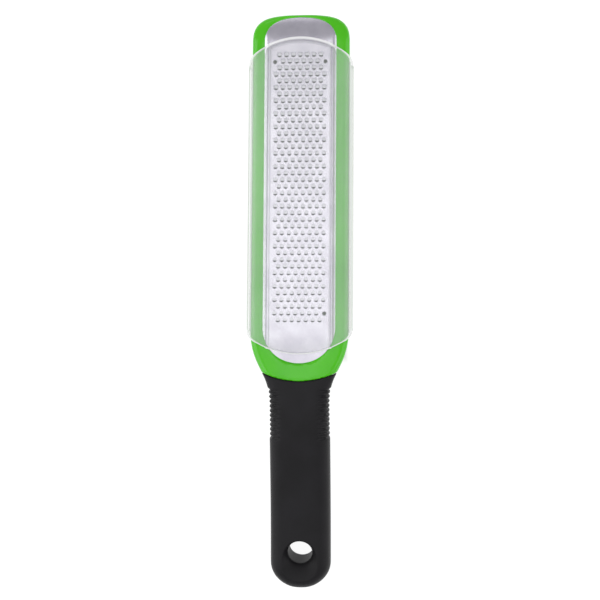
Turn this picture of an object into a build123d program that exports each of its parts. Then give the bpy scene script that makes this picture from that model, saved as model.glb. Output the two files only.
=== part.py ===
from build123d import *

import os
from math import cos, radians, sin, sqrt, tan

os.makedirs("parts", exist_ok=True)

# Rasp zester, lying on its back as it rests on a table: +Z is up, +Y runs from the grip to the
# tip and +X is the right-hand side seen from above. The origin is the middle of the footprint.
# The tool is arched, so it stands on the foot under its tip and on the end of its grip.

# Overall form
overall_length = 310.0
frame_width = 53.0
grip_width = 32.5
blade_tilt = 4.2  # degrees that the rasp falls towards its tip
tip_height = 7.0  # height of the widest line of the frame at the tip
grip_height = 10.7  # height of the widest line at the end of the grip
neck_rise = 0.75  # how far the widest line still climbs after the blade
blade_crown = 5.0  # frame above its widest line
blade_depth = 6.0  # frame below its widest line
grip_crown = 9.5
tip_run = 15.0  # length of the rounded tip
grip_end_run = 14.0  # length of the rounded grip end

# Etched plate
plate_width = 39.3
plate_thickness = 0.4
plate_start = 1.5  # from the tip of the frame to the plate
plate_length = 188.0
plate_into_neck = 17.5  # how far the plate runs past the line where the shoulders start to draw in
plate_flat_margin = 0.4  # flat beside the toothed field
plate_side_roll = 8.0
plate_side_turn = 60.0  # degrees
plate_tip_roll = 42.0
plate_neck_roll = 110.0
plate_end_turn = 30.0  # degrees
plate_bend = 2.0  # degrees of the fine bend where the flat goes over into each roll
plate_tip_run = 14.5  # from the edge of the plate to its flat
plate_neck_run = 16.5
plate_tip_corner = 14.5
plate_neck_corner = 20.7
plate_gap = 0.12  # between the plate and the seat that holds it
plate_lip_gap = 0.15  # round the edge of the plate

# Teeth
tooth_row_pitch = 3.58
tooth_pitch = 3.72
tooth_first_row = 23.1  # from the tip of the frame
tooth_free_end = 23.0  # plate behind the last row, at least
teeth_in_wide_row = 8
teeth_in_narrow_row = 7
tooth_width = 2.2
tooth_length = 1.45
tooth_height = 0.55
tooth_wall = 0.2
tooth_opening = 0.85  # length of the hole in front of the cutting edge
field_margin = 0.48  # beside the outer teeth
locating_hole_diameter = 2.1
locating_hole_spread = 13.6  # from the middle of the plate

# Frame
seat_width = 2.2  # ledge under the edge of the plate
ledge_base = 0.8  # underside of the ledge, over the widest line
skirt_thickness = 5.0
window_start = 15.0  # from the tip of the frame
window_to_plate_end = 9.5
window_corner = 5.0
seam_behind_plate = 8.3  # from the end of the plate to where the grip starts
seam_radius = 48.0
seam_gap = 0.3
tang_width = 18.0
tang_thickness = 7.0
tang_behind_plate = 2.0
tang_from_grip_end = 37.0

# Grip
fin_count = 10
fin_pitch = 2.5
fin_behind_seam = 5.9
fin_slope = 8.5  # degrees that the grip falls where the fins are
groove_depth = 1.5
groove_width = 1.25
hang_bore_radius = 6.5
hang_bore_length = 13.2
hang_slant = 11.4  # degrees that the bore leans towards the blade at its back
hang_from_end = 21.0
hang_drop = 0.6  # below the grip's widest line
flare_depth = 3.5
flare_widening = 3.4
flare_lean = 1.95

# Tip foot
foot_width = 30.0
foot_length = 8.4
foot_from_tip = 4.6
foot_thickness = 3.2
foot_corner = 3.0
foot_chamfer = 0.6
foot_gap = 0.1

# Storage cover
cover_wall = 1.3
cover_gap = 0.65  # beside the frame
cover_start = 13.6  # from the tip of the frame
cover_to_plate_end = 4.9
cover_tip_radius = 42.0
cover_neck_radius = 48.0
cover_corner = 7.0
panel_margin = 1.4  # beside the toothed field, inside the raised panel
panel_clearance = 1.0  # over the teeth
panel_step = 1.15
panel_draft = 0.4
shoulder_radius = 6.3  # inside the bend from the top to the skirt
shoulder_fall = 0.15
cover_skirt = 4.6  # below the widest line of the frame

overrun = 5.0  # how far a cutting shape runs past what it cuts

tip_y = overall_length / 2
frame_half = frame_width / 2
grip_half = grip_width / 2
plate_half = plate_width / 2
tilt = radians(blade_tilt)
grip_depth = grip_height  # the end of the grip rests on the table
cap_y = grip_end_run - tip_y

# Along the blade, from the tip of the frame
plate_end = plate_start + plate_length
neck_start = plate_end - plate_into_neck
neck_y = tip_y - neck_start
plate_flat_start = plate_start + plate_tip_run
plate_flat_end = plate_end - plate_neck_run
window_end = plate_end - window_to_plate_end
seam_distance = plate_end + seam_behind_plate
fin_first = seam_distance + fin_behind_seam
cover_end = plate_end - cover_to_plate_end

# Across the blade
outer_tooth = (teeth_in_wide_row - 1) / 2 * tooth_pitch + tooth_width / 2
field_width = 2 * (outer_tooth + field_margin)
plate_flat_width = field_width + 2 * plate_flat_margin
panel_width = field_width + 2 * panel_margin

blade = Plane(origin=(0, tip_y, tip_height), x_dir=(1, 0, 0), z_dir=(0, sin(tilt), cos(tilt)))


def blade_height(y):
    """Height of the frame's widest line along the blade."""
    return tip_height + (tip_y - y) * tan(tilt)


def oval(y, half, height, crown, depth):
    """Section of the outer form: four curves that meet at the widest line and on the middle line."""
    top_share = 0.72
    base_share = 0.80
    with BuildSketch(Plane.XZ.offset(-y)) as section:
        with BuildLine():
            top = height + crown
            base = height - depth
            shoulder = height + top_share * crown
            heel = height - base_share * depth
            Bezier((half, height), (half, shoulder), (top_share * half, top), (0, top))
            Bezier((0, top), (-top_share * half, top), (-half, shoulder), (-half, height))
            Bezier((-half, height), (-half, heel), (-base_share * half, base), (0, base))
            Bezier((0, base), (base_share * half, base), (half, heel), (half, height))
        make_face()
    return section.sketch.face()


blade_station_shares = [0.00, 0.03, 0.08, 0.20, 0.42, 0.64, 0.82, 0.92, 0.97]

# Neck and grip stations: share of the way from the end of the blade to the rounded end, then how
# much of the blade's width, of the arch's height and of the grip's thickness is reached there
neck_station_shares = [
    (0.000, 1.000, 0.923, 0.00),
    (0.016, 0.992, 0.938, 0.01),
    (0.036, 0.968, 0.952, 0.03),
    (0.070, 0.893, 0.974, 0.06),
    (0.105, 0.765, 0.990, 0.10),
    (0.139, 0.590, 0.998, 0.15),
    (0.173, 0.385, 1.000, 0.23),
    (0.205, 0.200, 0.996, 0.33),
    (0.238, 0.075, 0.975, 0.46),
    (0.272, 0.018, 0.935, 0.60),
    (0.310, 0.001, 0.872, 0.73),
    (0.360, 0.000, 0.775, 0.86),
    (0.420, 0.000, 0.655, 0.95),
    (0.500, 0.000, 0.500, 1.00),
    (0.600, 0.000, 0.322, 1.00),
    (0.720, 0.000, 0.150, 1.00),
    (0.850, 0.000, 0.035, 1.00),
    (1.000, 0.000, 0.000, 1.00),
]

# Rounded ends: share of the run, then shares of the width, of the crown and of the depth
tip_station_shares = [
    (0.000, 1.000, 1.00, 1.00),
    (0.150, 0.999, 0.99, 1.00),
    (0.400, 0.977, 0.93, 0.97),
    (0.600, 0.925, 0.85, 0.90),
    (0.760, 0.840, 0.76, 0.82),
    (0.880, 0.720, 0.66, 0.70),
    (0.960, 0.530, 0.54, 0.55),
    (1.000, 0.300, 0.36, 0.38),
]
grip_end_station_shares = [
    (0.000, 1.000, 1.000, 1.000),
    (0.120, 0.993, 0.998, 0.998),
    (0.300, 0.954, 0.980, 0.980),
    (0.500, 0.866, 0.930, 0.930),
    (0.700, 0.714, 0.810, 0.810),
    (0.850, 0.527, 0.660, 0.660),
    (0.950, 0.312, 0.450, 0.450),
    (1.000, 0.060, 0.140, 0.140),
]


def neck_sizes(width_share, height_share, thick_share):
    """Half width, height of the widest line, crown and depth of the form behind the blade."""
    crest = blade_height(neck_y) + neck_rise
    half = grip_half + width_share * (frame_half - grip_half)
    height = grip_height + height_share * (crest - grip_height)
    crown = blade_crown + thick_share * (grip_crown - blade_crown)
    depth = blade_depth + thick_share * (grip_depth - blade_depth)
    return half, height, crown, depth


def neck_sizes_at(y):
    """The same sizes between two stations."""
    reached = (y - neck_y) / (cap_y - neck_y)
    for near, far in zip(neck_station_shares, neck_station_shares[1:]):
        if reached <= far[0]:
            blend = (reached - near[0]) / (far[0] - near[0])
            return neck_sizes(*[start + blend * (end - start) for start, end in zip(near[1:], far[1:])])


def outer_form():
    """The tool's whole outer form: one loft from the tip to the end of the grip."""
    tip_start = tip_y - tip_run
    sections = []
    for share, width_share, crown_share, depth_share in reversed(tip_station_shares):
        y = tip_start + share * tip_run
        crown = crown_share * blade_crown
        sections.append(oval(y, width_share * frame_half, blade_height(y), crown, depth_share * blade_depth))
    for share in blade_station_shares[1:]:
        y = tip_start + share * (neck_y - tip_start)
        sections.append(oval(y, frame_half, blade_height(y), blade_crown, blade_depth))
    for share, *shares in neck_station_shares:
        sections.append(oval(neck_y + share * (cap_y - neck_y), *neck_sizes(*shares)))
    for share, width_share, crown_share, depth_share in grip_end_station_shares[1:]:
        y = cap_y - share * grip_end_run
        crown = crown_share * grip_crown
        sections.append(oval(y, width_share * grip_half, grip_height, crown, depth_share * grip_depth))
    with BuildPart() as form:
        loft(sections)
    return form.part


def crowned_block(sink):
    """Everything under the plate's crowned outer face, with that face sunk by sink. It lies in
    the blade's own frame: X across, Y along with zero at the tip, Z square to the blade."""
    face = blade_crown - sink
    floor = -blade_depth - overrun
    flat_half = plate_flat_width / 2
    side_turn = radians(plate_side_turn)
    end_turn = radians(plate_end_turn)
    bend = radians(plate_bend)
    side_roll = plate_side_roll - sink
    side_x = flat_half + side_roll * (sin(side_turn) - sin(bend))
    side_z = face + side_roll * (cos(side_turn) - cos(bend))
    tip_roll = plate_tip_roll - sink
    tip_end = tip_roll * (sin(end_turn) - sin(bend)) - plate_flat_start
    tip_z = face + tip_roll * (cos(end_turn) - cos(bend))
    neck_roll = plate_neck_roll - sink
    neck_end = -plate_flat_end - neck_roll * (sin(end_turn) - sin(bend))
    neck_z = face + neck_roll * (cos(end_turn) - cos(bend))
    with BuildPart() as block:
        with BuildSketch(Plane.XZ.offset(-overrun)):
            with BuildLine():
                Line((-flat_half, face), (flat_half, face))
                RadiusArc((flat_half, face), (side_x, side_z), side_roll)
                Polyline((side_x, side_z), (side_x, floor), (-side_x, floor), (-side_x, side_z))
                RadiusArc((-side_x, side_z), (-flat_half, face), side_roll)
            make_face()
        extrude(amount=plate_end + 2 * overrun)
        with BuildSketch(Plane.YZ):
            with BuildLine():
                Line((-plate_flat_end, face), (-plate_flat_start, face))
                RadiusArc((-plate_flat_start, face), (tip_end, tip_z), tip_roll)
                Polyline((tip_end, tip_z), (tip_end, floor), (neck_end, floor), (neck_end, neck_z))
                RadiusArc((neck_end, neck_z), (-plate_flat_end, face), neck_roll)
            make_face()
        extrude(amount=frame_width, both=True, mode=Mode.INTERSECT)
    return block.part


def plate_outline(height, margin):
    """The plate's outline seen from above, in the blade's own frame, grown by margin."""
    tip_share = 0.64
    neck_share = 0.58
    half = plate_half + margin
    top = margin - plate_start
    base = -plate_end - margin
    top_corner = top - plate_tip_corner
    base_corner = base + plate_neck_corner
    tip_side = top_corner + tip_share * plate_tip_corner
    neck_side = base_corner - neck_share * plate_neck_corner
    with BuildSketch(Plane.XY.offset(height)) as outline:
        with BuildLine():
            Line((half, base_corner), (half, top_corner))
            Bezier((half, top_corner), (half, tip_side), (tip_share * half, top), (0, top))
            Bezier((0, top), (-tip_share * half, top), (-half, tip_side), (-half, top_corner))
            Line((-half, top_corner), (-half, base_corner))
            Bezier((-half, base_corner), (-half, neck_side), (-neck_share * half, base), (0, base))
            Bezier((0, base), (neck_share * half, base), (half, neck_side), (half, base_corner))
        make_face()
    return outline.sketch


def tooth_hood():
    """One raised tooth: a hood that climbs to a cutting edge facing the grip."""
    half = tooth_width / 2
    edge_half = half / 2
    with BuildPart() as hood:
        with BuildSketch(Plane.XZ) as front:
            with BuildLine():
                Polyline(
                    (-half, -plate_thickness / 2),
                    (-half, 0),
                    (-edge_half, tooth_height),
                    (edge_half, tooth_height),
                    (half, 0),
                    (half, -plate_thickness / 2),
                    close=True,
                )
            make_face()
        loft([front.sketch.face(), Vertex(0, tooth_length, 0)], ruled=True)
    return hood.part


def tooth_hollow():
    """What is open under one hood, down through the plate."""
    half = tooth_width / 2
    edge_half = half / 2
    ceiling = tooth_height - tooth_wall
    with BuildPart() as hollow:
        with BuildSketch(Plane.XZ) as front:
            with BuildLine():
                Polyline(
                    (-half, -2 * plate_thickness),
                    (-half, -plate_thickness),
                    (-edge_half, ceiling),
                    (edge_half, ceiling),
                    (half, -plate_thickness),
                    (half, -2 * plate_thickness),
                    close=True,
                )
            make_face()
        loft([front.sketch.face(), Vertex(0, tooth_length, -plate_thickness)], ruled=True)
    return hollow.part


def tooth_row(teeth, holes):
    """One row of the toothed field: a strip of plate with its teeth and locating holes."""
    half = tooth_width / 2
    edge_half = half / 2
    with BuildPart() as strip:
        with BuildSketch(Plane.XY.offset(-plate_thickness)):
            Rectangle(field_width, tooth_row_pitch)
        extrude(amount=plate_thickness)
        with Locations(*[(x, 0) for x in teeth]):
            add(tooth_hood())
        with Locations(*[(x, 0) for x in teeth]):
            add(tooth_hollow(), mode=Mode.SUBTRACT)
        with BuildSketch(Plane.XY.offset(-2 * plate_thickness)):
            with Locations(*[(x, 0) for x in teeth]):
                Polygon(
                    (-half, 0),
                    (-edge_half, -tooth_opening),
                    (edge_half, -tooth_opening),
                    (half, 0),
                    align=None,
                )
        extrude(amount=3 * plate_thickness, mode=Mode.SUBTRACT)
        if holes:
            with Locations(*[(x, 0) for x in holes]):
                Hole(locating_hole_diameter / 2)
    return strip.part


# Rasp plate: the crowned sheet, with its toothed field put in row by row
tooth_rows = int((plate_end - tooth_free_end - tooth_first_row) / tooth_row_pitch) + 1
field_start = tooth_first_row - tooth_row_pitch / 2
field_length = tooth_rows * tooth_row_pitch
narrow_row = [(place - (teeth_in_narrow_row - 1) / 2) * tooth_pitch for place in range(teeth_in_narrow_row)]
wide_row = [(place - (teeth_in_wide_row - 1) / 2) * tooth_pitch for place in range(teeth_in_wide_row)]
row_kinds = {
    "narrow": tooth_row(narrow_row, []),
    "wide": tooth_row(wide_row, []),
    "first wide": tooth_row(wide_row[1:-1], [-locating_hole_spread, locating_hole_spread]),
    "last wide": tooth_row(wide_row[:-1], [locating_hole_spread]),
}
rows = []
for row in range(tooth_rows):
    kind = "narrow" if row % 2 == 0 else "wide"
    if row == 1:
        kind = "first wide"
    if row == tooth_rows - 2:
        kind = "last wide"
    row_y = -tooth_first_row - row * tooth_row_pitch
    rows.append(Pos(0, row_y, blade_crown) * row_kinds[kind])

with BuildPart() as sheet:
    add(crowned_block(0))
    extrude(plate_outline(-blade_depth, 0), amount=2 * blade_depth + blade_crown, mode=Mode.INTERSECT)
    add(crowned_block(plate_thickness), mode=Mode.SUBTRACT)
    with BuildSketch(Plane.XY):
        with Locations((0, -field_start - field_length / 2)):
            Rectangle(field_width, field_length)
    extrude(amount=blade_crown + overrun, mode=Mode.SUBTRACT)

with BuildPart(blade) as rasp_plate:
    add([sheet.part] + rows, clean=False)
rasp_plate.part.label = "rasp_plate"
export_step(rasp_plate.part, "parts/rasp_plate.step")


def ahead_of_seam(gap):
    """Everything in front of the arc where the grip starts, moved back by gap."""
    seam_y = tip_y - seam_distance + seam_radius
    with BuildPart() as ahead:
        with BuildSketch(Plane.XY.offset(-overrun)):
            with Locations((0, seam_y)):
                Circle(seam_radius + gap)
            with Locations((0, seam_y)):
                Rectangle(
                    2 * (seam_radius + gap),
                    seam_distance + overrun,
                    align=(Align.CENTER, Align.MIN),
                )
        extrude(amount=tip_height + overall_length)
    return ahead.part


def tang_bar():
    """The tongue of the frame that carries the grip, along the middle of the arch."""
    start_y = tip_y - plate_end - tang_behind_plate
    end_y = tang_from_grip_end - tip_y
    start_height = neck_sizes_at(start_y)[1]
    end_height = neck_sizes_at(end_y)[1]
    half = tang_thickness / 2
    with BuildPart() as tang:
        with BuildSketch(Plane.YZ):
            with BuildLine():
                Polyline(
                    (start_y, start_height + half),
                    (end_y, end_height + half),
                    (end_y, end_height - half),
                    (start_y, start_height - half),
                    close=True,
                )
            make_face()
        extrude(amount=tang_width / 2, both=True)
    return tang.part


def foot_outline(margin):
    """The foot's outline on the table, grown by margin."""
    with BuildSketch() as outline:
        with Locations((0, tip_y - foot_from_tip - foot_length / 2)):
            RectangleRounded(foot_width + 2 * margin, foot_length + 2 * margin, foot_corner + margin)
    return outline.sketch


# Frame: the outer form in front of the seam, with the plate's recess, the window under the teeth,
# the wider pocket below the ledge, the recess of the foot and the tang
whole_form = outer_form()

with BuildPart() as plate_recess:
    extrude(plate_outline(-blade_depth, plate_lip_gap), amount=2 * blade_depth + blade_crown)
    add(crowned_block(plate_thickness + plate_gap), mode=Mode.SUBTRACT)

with BuildPart() as window:
    with BuildSketch(Plane.XY.offset(-blade_depth - overrun)):
        with Locations((0, -(window_start + window_end) / 2)):
            RectangleRounded(
                plate_width - 2 * seat_width,
                window_end - window_start,
                window_corner,
            )
    extrude(amount=blade_depth + blade_crown + overrun)
    extrude(
        plate_outline(-blade_depth - overrun, -seat_width),
        amount=blade_depth + blade_crown + overrun,
        mode=Mode.INTERSECT,
    )

with BuildPart() as pocket:
    with BuildSketch(Plane.XY.offset(-blade_depth - overrun)):
        with Locations((0, -(window_start + window_end) / 2)):
            RectangleRounded(
                frame_width - 2 * skirt_thickness,
                window_end - window_start,
                window_corner,
            )
    extrude(amount=blade_depth + overrun + ledge_base)

with BuildPart() as frame:
    add(whole_form)
    add(ahead_of_seam(0), mode=Mode.INTERSECT)
    for cut in (plate_recess, window, pocket):
        add(blade.location * cut.part, mode=Mode.SUBTRACT)
    extrude(foot_outline(foot_gap), amount=foot_thickness, mode=Mode.SUBTRACT)
    add(tang_bar())
frame.part.label = "frame"
export_step(frame.part, "parts/frame.step")

# Tip foot
with BuildPart() as tip_foot:
    extrude(foot_outline(0), amount=foot_thickness)
    chamfer(tip_foot.edges().group_by(Axis.Z)[0], foot_chamfer)
tip_foot.part.label = "tip_foot"
export_step(tip_foot.part, "parts/tip_foot.step")


# Grip: the outer form behind the seam, with the tang's socket, the grooves between the fins and
# the hanging hole, whose mouths flare out and lean away from each other
groove_inner_share = 0.68  # of the grip's half width, with the height of its face there
groove_top_share = 0.85
groove_wall_share = 0.30  # of the crown, where the grooves' upright floor starts

with BuildPart() as grooves:
    slope = radians(fin_slope)
    for groove in range(fin_count + 1):
        y = tip_y - fin_first - (groove - 0.5) * fin_pitch
        half, height, crown, depth = neck_sizes_at(y)
        inner_x = groove_inner_share * half
        floor_x = half - groove_depth
        outer_x = half + groove_depth
        across = Plane(origin=(0, y, height), x_dir=(1, 0, 0), z_dir=(0, -cos(slope), -sin(slope)))
        with BuildSketch(across):
            for side in (-1, 1):
                Polygon(
                    (side * inner_x, groove_top_share * crown),
                    (side * floor_x, groove_wall_share * crown),
                    (side * floor_x, -depth),
                    (side * outer_x, -depth),
                    (side * outer_x, groove_top_share * crown),
                    align=None,
                )
        extrude(amount=groove_width / 2, both=True)

hang = Plane(
    origin=(0, hang_from_end - tip_y, grip_height - hang_drop),
    x_dir=(1, 0, 0),
    z_dir=(0, -sin(radians(hang_slant)), cos(radians(hang_slant))),
)


def flare(side):
    """One flared mouth of the hanging hole; side is 1 on top and -1 underneath."""
    reach_share = 1.6
    mouth_z = side * hang_bore_length / 2
    with BuildSketch(hang.offset(mouth_z)) as inner:
        Circle(hang_bore_radius)
    with BuildSketch(hang.offset(mouth_z + side * reach_share * flare_depth)) as outer:
        with Locations((0, -side * reach_share * flare_lean)):
            Circle(hang_bore_radius + reach_share * flare_widening)
    with BuildPart() as mouth:
        loft([inner.sketch.face(), outer.sketch.face()])
    return mouth.part


with BuildPart() as grip:
    add(whole_form)
    add(ahead_of_seam(seam_gap), mode=Mode.SUBTRACT)
    add(tang_bar(), mode=Mode.SUBTRACT)
    add(grooves.part, mode=Mode.SUBTRACT)
    with BuildSketch(hang):
        Circle(hang_bore_radius)
    extrude(amount=grip_crown + overrun, both=True, mode=Mode.SUBTRACT)
    add(flare(1), mode=Mode.SUBTRACT)
    add(flare(-1), mode=Mode.SUBTRACT)
grip.part.label = "grip"
export_step(grip.part, "parts/grip.step")


def cover_block(grow):
    """What the cover's inner face encloses, in the blade's own frame, grown by grow."""
    ceiling = blade_crown + tooth_height + panel_clearance + grow
    panel_half = panel_width / 2 + grow
    ledge = ceiling - panel_step
    ledge_x = panel_half + panel_draft
    half = frame_half + cover_gap + grow
    radius = shoulder_radius + grow
    arc_z = ledge - shoulder_fall
    with BuildPart() as block:
        with BuildSketch(Plane.XZ.offset(overrun)):
            with BuildLine():
                Polyline(
                    (-half + radius, arc_z),
                    (-ledge_x, ledge),
                    (-panel_half, ceiling),
                    (panel_half, ceiling),
                    (ledge_x, ledge),
                    (half - radius, arc_z),
                )
                RadiusArc((half - radius, arc_z), (half, arc_z - radius), radius)
                Polyline(
                    (half, arc_z - radius),
                    (half, -cover_skirt),
                    (-half, -cover_skirt),
                    (-half, arc_z - radius),
                )
                RadiusArc((-half, arc_z - radius), (-half + radius, arc_z), radius)
            make_face()
        extrude(amount=cover_end)
    return block.part


# Storage cover: the shell, cut to a shape with a curved front and back edge as seen from above
with BuildPart() as cover_shape:
    cover_half = frame_half + cover_gap + cover_wall
    tip_side = cover_start + cover_tip_radius - sqrt(cover_tip_radius**2 - cover_half**2)
    neck_side = cover_end - cover_neck_radius + sqrt(cover_neck_radius**2 - cover_half**2)
    with BuildSketch(Plane.XY.offset(-cover_skirt - overrun)) as cover_outline:
        with BuildLine():
            ThreePointArc((-cover_half, -tip_side), (0, -cover_start), (cover_half, -tip_side))
            Line((cover_half, -tip_side), (cover_half, -neck_side))
            ThreePointArc((cover_half, -neck_side), (0, -cover_end), (-cover_half, -neck_side))
            Line((-cover_half, -neck_side), (-cover_half, -tip_side))
        make_face()
        fillet(cover_outline.vertices(), cover_corner)
    extrude(amount=cover_skirt + 2 * blade_crown + 2 * overrun)

with BuildPart(blade) as storage_cover:
    add(cover_block(cover_wall))
    add(cover_block(0), mode=Mode.SUBTRACT)
    add(cover_shape.part, mode=Mode.INTERSECT)
storage_cover.part.label = "storage_cover"
export_step(storage_cover.part, "parts/storage_cover.step")
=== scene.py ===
import math

import bpy
from mathutils import Matrix, Vector


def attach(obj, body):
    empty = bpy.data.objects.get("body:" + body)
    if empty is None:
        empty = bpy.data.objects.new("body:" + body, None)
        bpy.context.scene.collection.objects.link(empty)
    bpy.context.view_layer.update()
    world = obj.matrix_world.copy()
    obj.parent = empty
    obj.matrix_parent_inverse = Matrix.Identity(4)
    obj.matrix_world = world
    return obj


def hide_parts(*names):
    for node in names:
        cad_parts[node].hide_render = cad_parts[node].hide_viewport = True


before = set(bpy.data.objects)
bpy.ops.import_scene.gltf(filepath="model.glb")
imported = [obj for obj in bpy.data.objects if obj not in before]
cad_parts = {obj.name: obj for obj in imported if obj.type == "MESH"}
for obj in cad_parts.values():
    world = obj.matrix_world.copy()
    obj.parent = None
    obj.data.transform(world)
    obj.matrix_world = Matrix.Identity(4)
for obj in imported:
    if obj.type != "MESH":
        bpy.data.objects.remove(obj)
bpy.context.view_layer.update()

mm = 0.001  # sizes in the tables below are in millimetres

# The outer form of frame and grip, teeth up: +Y points to the tip
form = {
    "length": 310.0,
    "frameHalf": 26.5,
    "gripHalf": 16.25,
    "bladeTilt": 4.2,  # degrees
    "bladeLength": 172.0,
    "tipHeight": 7.0,
    "gripHeight": 10.7,
    "neckRise": 0.75,
    "bladeCrown": 5.0,
    "bladeDepth": 6.0,
    "gripCrown": 9.5,
    "gripDepth": 10.7,
    "tipRun": 15.0,
    "gripEndRun": 14.0,
    "topShare": 0.72,
    "baseShare": 0.80,
    "aroundCount": 112,
    "placeSize": 3.0,  # between the sections along the blade
    "neckPlaceSize": 0.9,
}
tipY = form["length"] / 2
neckY = tipY - form["bladeLength"]
tipStartY = tipY - form["tipRun"]
capY = form["gripEndRun"] - tipY
tilt = math.radians(form["bladeTilt"])

# Neck: share of the way to the rounded end, then shares of width, of arch height and of thickness
neckStations = [
    (0.000, 1.000, 0.923, 0.00),
    (0.016, 0.992, 0.938, 0.01),
    (0.036, 0.968, 0.952, 0.03),
    (0.070, 0.893, 0.974, 0.06),
    (0.105, 0.765, 0.990, 0.10),
    (0.139, 0.590, 0.998, 0.15),
    (0.173, 0.385, 1.000, 0.23),
    (0.205, 0.200, 0.996, 0.33),
    (0.238, 0.075, 0.975, 0.46),
    (0.272, 0.018, 0.935, 0.60),
    (0.310, 0.001, 0.872, 0.73),
    (0.360, 0.000, 0.775, 0.86),
    (0.420, 0.000, 0.655, 0.95),
    (0.500, 0.000, 0.500, 1.00),
    (0.600, 0.000, 0.322, 1.00),
    (0.720, 0.000, 0.150, 1.00),
    (0.850, 0.000, 0.035, 1.00),
    (1.000, 0.000, 0.000, 1.00),
]

# Rounded ends: share of the run, then shares of width, crown and depth
tipStations = [
    (0.000, 1.000, 1.00, 1.00),
    (0.150, 0.999, 0.99, 1.00),
    (0.400, 0.977, 0.93, 0.97),
    (0.600, 0.925, 0.85, 0.90),
    (0.760, 0.840, 0.76, 0.82),
    (0.880, 0.720, 0.66, 0.70),
    (0.960, 0.530, 0.54, 0.55),
    (1.000, 0.300, 0.36, 0.38),
]
gripEndStations = [
    (0.000, 1.000, 1.000, 1.000),
    (0.120, 0.993, 0.998, 0.998),
    (0.300, 0.954, 0.980, 0.980),
    (0.500, 0.866, 0.930, 0.930),
    (0.700, 0.714, 0.810, 0.810),
    (0.850, 0.527, 0.660, 0.660),
    (0.950, 0.312, 0.450, 0.450),
    (1.000, 0.060, 0.140, 0.140),
]


def mix(start, end, share):
    return start + share * (end - start)


def clamp(value, low=0.0, high=1.0):
    return max(low, min(high, value))


def ease(low, high, value):  # climbs smoothly from 0 at low to 1 at high
    share = clamp((value - low) / (high - low))
    return share * share * (3 - 2 * share)


def spread(start, end, size):  # even places from start to end, about size apart
    count = max(1, round(abs(end - start) / size))
    return [mix(start, end, i / count) for i in range(count + 1)]


def readTable(rows, at):  # smooth values between the rows, whose first column climbs
    place = 1
    while place < len(rows) - 1 and at > rows[place][0]:
        place += 1
    near, far = rows[place - 1], rows[place]
    before, after = rows[max(place - 2, 0)], rows[min(place + 1, len(rows) - 1)]
    span = far[0] - near[0]
    t = clamp((at - near[0]) / span)
    values = []
    for b, n, f, a in zip(before[1:], near[1:], far[1:], after[1:]):
        leave = (f - b) / (far[0] - before[0]) * span
        arrive = (a - n) / (after[0] - near[0]) * span
        value = n * (2 * t**3 - 3 * t**2 + 1) + leave * (t**3 - 2 * t**2 + t)
        values.append(value + f * (3 * t**2 - 2 * t**3) + arrive * (t**3 - t**2))
    return values


def bladeHeight(y):
    return form["tipHeight"] + (tipY - y) * math.tan(tilt)


def formSizes(y):  # half width, height of the widest line, crown above it and depth below it
    crown, depth = form["bladeCrown"], form["bladeDepth"]
    if y >= tipStartY:
        width, top, base = readTable(tipStations, (y - tipStartY) / form["tipRun"])
        return width * form["frameHalf"], bladeHeight(y), top * crown, base * depth
    if y >= neckY:
        return form["frameHalf"], bladeHeight(y), crown, depth
    if y >= capY:
        width, rise, thick = readTable(neckStations, (neckY - y) / (neckY - capY))
        crest = bladeHeight(neckY) + form["neckRise"]
        half = mix(form["gripHalf"], form["frameHalf"], width)
        height = mix(form["gripHeight"], crest, rise)
        crown = mix(crown, form["gripCrown"], thick)
        return half, height, crown, mix(depth, form["gripDepth"], thick)
    width, top, base = readTable(gripEndStations, (capY - y) / form["gripEndRun"])
    return width * form["gripHalf"], form["gripHeight"], top * form["gripCrown"], base * form["gripDepth"]


def ovalPoint(turn, half, height, crown, depth):  # a point of the section, turn 0 to 1 anticlockwise
    quarter = min(3, int(turn * 4))
    t = turn * 4 - quarter
    if quarter in (1, 3):
        t = 1 - t
    side = 1 if quarter in (0, 3) else -1
    share, rise = (form["topShare"], crown) if quarter < 2 else (form["baseShare"], -depth)
    u = 1 - t
    x = side * half * (u**3 + 3 * u * u * t + share * 3 * u * t * t)
    z = height + rise * (share * 3 * u * u * t + 3 * u * t * t + t**3)
    return x, z


def pick(piece):  # selects one piece alone
    bpy.ops.object.select_all(action="DESELECT")
    piece.select_set(True)
    bpy.context.view_layer.objects.active = piece


def addGrid(name, columns, rows, place):  # a grid whose corners go where place(column, row) says
    bpy.ops.object.select_all(action="DESELECT")
    bpy.ops.mesh.primitive_grid_add(x_subdivisions=columns, y_subdivisions=rows, size=1)
    piece = bpy.context.object
    piece.name = name
    for corner in piece.data.vertices:
        column = round((corner.co.x + 0.5) * columns)
        row = round((corner.co.y + 0.5) * rows)
        corner.co = Vector(place(column, row)) * mm
    return piece


def sew(piece, fill=True, gap=0.004):  # joins doubles, closes open ends and turns the faces outwards
    pick(piece)
    bpy.ops.object.mode_set(mode="EDIT")
    bpy.ops.mesh.select_all(action="SELECT")
    bpy.ops.mesh.remove_doubles(threshold=gap * mm)
    if fill:
        bpy.ops.mesh.select_all(action="DESELECT")
        bpy.ops.mesh.select_non_manifold()
        bpy.ops.mesh.fill_holes(sides=0)
        bpy.ops.mesh.select_all(action="SELECT")
        bpy.ops.mesh.normals_make_consistent(inside=False)
    bpy.ops.object.mode_set(mode="OBJECT")


def applyModifier(piece, kind, **settings):
    pick(piece)
    modifier = piece.modifiers.new(kind.title(), kind)
    for name, value in settings.items():
        setattr(modifier, name, value)
    bpy.ops.object.modifier_apply(modifier=modifier.name)


def cut(piece, cutter, operation="DIFFERENCE"):
    applyModifier(piece, "BOOLEAN", object=cutter, operation=operation, solver="EXACT")
    bpy.data.objects.remove(cutter)


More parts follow.
